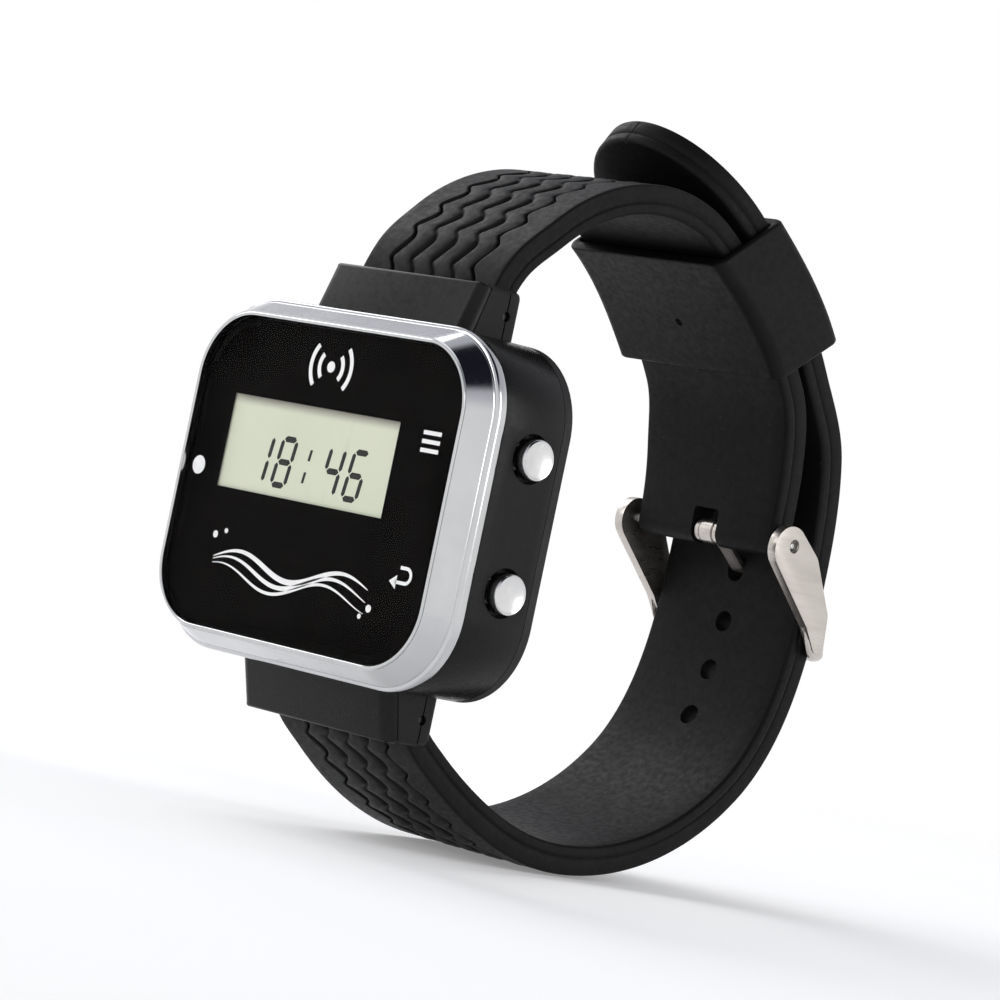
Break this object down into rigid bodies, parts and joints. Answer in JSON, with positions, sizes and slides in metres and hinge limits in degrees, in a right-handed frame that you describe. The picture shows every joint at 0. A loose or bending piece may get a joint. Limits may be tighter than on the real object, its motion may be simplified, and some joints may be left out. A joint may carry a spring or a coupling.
{
  "type": "wrist pager",
  "caption": "Square wrist pager with chrome bezel, small numeric display and side push buttons, on a buckled rubber strap with a sliding keeper.",
  "frame": {"origin": "middle of the outer face of the flat back cover, which rests on the wrist", "axes": "+Y out of the back cover towards the wrist, so the face looks along -Y; +Z to 12 o'clock; +X to 3 o'clock, where the buttons are"},
  "size_m": [0.0493, 0.0763, 0.0855],
  "materials": {
    "case_plastic": "gloss black moulded plastic",
    "cover_plastic": "satin black moulded plastic",
    "chrome_bezel": "polished chrome plating",
    "lens_glass": "clear hardened lens, polished",
    "mask_ink": "matt black printed film",
    "adhesive": "dull dark adhesive tape",
    "button_chrome": "polished chrome plating",
    "spring_steel": "drawn steel wire",
    "pin_steel": "turned steel",
    "buckle_steel": "fine brushed steel",
    "screw_steel": "machined steel",
    "strap_rubber": "matt black silicone rubber",
    "seal_rubber": "soft black rubber",
    "lcd_polariser": "grey-green display glass with polariser",
    "diffuser": "milky white diffuser",
    "holder_plastic": "white moulded plastic",
    "contact_rubber": "pink layered contact rubber",
    "board": "green solder mask on glass laminate",
    "chip_epoxy": "matt moulded epoxy",
    "part_ceramic": "ceramic with tinned ends",
    "nickel_can": "nickel-plated pressed steel",
    "copper_wire": "enamelled copper wire",
    "clear_plastic": "clear moulded plastic",
    "cell_foil": "laminated foil pouch",
    "lead_insulation": "red and black wire insulation",
    "foam": "closed-cell foam",
    "switch_plastic": "black moulded plastic",
    "plunger_plastic": "ivory moulded plastic",
    "tungsten": "sintered heavy metal"
  },
  "bodies": {
    "case": {"case_body": "case_plastic", "bezel_ring": "chrome_bezel", "front_lens": "lens_glass", "lens_mask": "mask_ink", "lens_tape": "adhesive", "back_cover": "cover_plastic", "back_gasket": "seal_rubber", "back_screws": "screw_steel", "lcd_glass": "lcd_polariser", "lcd_backlight": "diffuser", "lcd_holder": "holder_plastic", "zebra_strips": "contact_rubber", "main_pcb": "board", "mcu_chip": "chip_epoxy", "receiver_chip": "chip_epoxy", "crystal_can": "nickel_can", "chip_passives": "part_ceramic", "antenna_coil": "copper_wire", "indicator_led": "diffuser", "light_pipe": "clear_plastic", "battery_cell": "cell_foil", "battery_leads": "lead_insulation", "battery_pad": "foam", "charge_socket": "nickel_can", "motor_can": "nickel_can", "motor_boot": "seal_rubber", "strap_upper": "strap_rubber", "strap_lower": "strap_rubber", "upper_button_spring": "spring_steel", "upper_button_seal": "seal_rubber", "upper_switch_body": "switch_plastic", "upper_bar_tube": "pin_steel", "upper_bar_spring": "spring_steel", "lower_button_spring": "spring_steel", "lower_button_seal": "seal_rubber", "lower_switch_body": "switch_plastic", "lower_bar_tube": "pin_steel", "lower_bar_spring": "spring_steel"},
    "upper_button": {"upper_button": "button_chrome", "upper_button_clip": "spring_steel"},
    "lower_button": {"lower_button": "button_chrome", "lower_button_clip": "spring_steel"},
    "upper_plunger": {"upper_switch_plunger": "plunger_plastic"},
    "lower_plunger": {"lower_switch_plunger": "plunger_plastic"},
    "motor_rotor": {"motor_weight": "tungsten"},
    "upper_tip_left": {"upper_bar_tip_left": "pin_steel"},
    "upper_tip_right": {"upper_bar_tip_right": "pin_steel"},
    "lower_tip_left": {"lower_bar_tip_left": "pin_steel"},
    "lower_tip_right": {"lower_bar_tip_right": "pin_steel"},
    "keeper": {"keeper": "strap_rubber"},
    "buckle": {"buckle_frame": "buckle_steel", "buckle_pin": "pin_steel"},
    "tongue": {"buckle_tongue": "buckle_steel"}
  },
  "joints": [
    {"name": "upper_button_press", "type": "slide", "parent": "case", "child": "upper_button", "axis": [-1, 0, 0], "range_m": [0, 0.0005], "stiffness_N_per_m": 600, "springref_m": -0.0008, "deforming": ["upper_button_spring"]},
    {"name": "upper_plunger_press", "type": "slide", "parent": "case", "child": "upper_plunger", "axis": [-1, 0, 0], "range_m": [0, 0.0005]},
    {"name": "lower_button_press", "type": "slide", "parent": "case", "child": "lower_button", "axis": [-1, 0, 0], "range_m": [0, 0.0005], "stiffness_N_per_m": 600, "springref_m": -0.0008, "deforming": ["lower_button_spring"]},
    {"name": "lower_plunger_press", "type": "slide", "parent": "case", "child": "lower_plunger", "axis": [-1, 0, 0], "range_m": [0, 0.0005]},
    {"name": "motor_spin", "type": "hinge", "parent": "case", "child": "motor_rotor", "pos_m": [0, -0.0049, -0.0146], "axis": [1, 0, 0], "continuous": true},
    {"name": "upper_bar_left_tip_slide", "type": "slide", "parent": "case", "child": "upper_tip_left", "axis": [1, 0, 0], "range_m": [0, 0.0011], "stiffness_N_per_m": 400, "springref_m": -0.0015, "deforming": ["upper_bar_spring"]},
    {"name": "upper_bar_right_tip_slide", "type": "slide", "parent": "case", "child": "upper_tip_right", "axis": [-1, 0, 0], "range_m": [0, 0.0011], "stiffness_N_per_m": 400, "springref_m": -0.0015, "deforming": ["upper_bar_spring"]},
    {"name": "lower_bar_left_tip_slide", "type": "slide", "parent": "case", "child": "lower_tip_left", "axis": [1, 0, 0], "range_m": [0, 0.0011], "stiffness_N_per_m": 400, "springref_m": -0.0015, "deforming": ["lower_bar_spring"]},
    {"name": "lower_bar_right_tip_slide", "type": "slide", "parent": "case", "child": "lower_tip_right", "axis": [-1, 0, 0], "range_m": [0, 0.0011], "stiffness_N_per_m": 400, "springref_m": -0.0015, "deforming": ["lower_bar_spring"]},
    {"name": "keeper_slide", "type": "hinge", "parent": "case", "child": "keeper", "pos_m": [0, 0.005, -0.0064], "axis": [1, 0, 0], "range_deg": [-3, 1]},
    {"name": "buckle_swing", "type": "hinge", "parent": "case", "child": "buckle", "pos_m": [0, 0.0494, 0.0049], "axis": [1, 0, 0], "range_deg": [-0.5, 0.5]},
    {"name": "tongue_swing", "type": "hinge", "parent": "case", "child": "tongue", "pos_m": [0, 0.0494, 0.0049], "axis": [1, 0, 0], "range_deg": [-0.5, 0.5]}
  ],
  "couplings": [
    {"joint": "upper_plunger_press", "follows": "upper_button_press", "ratio": 1},
    {"joint": "lower_plunger_press", "follows": "lower_button_press", "ratio": 1}
  ]
}
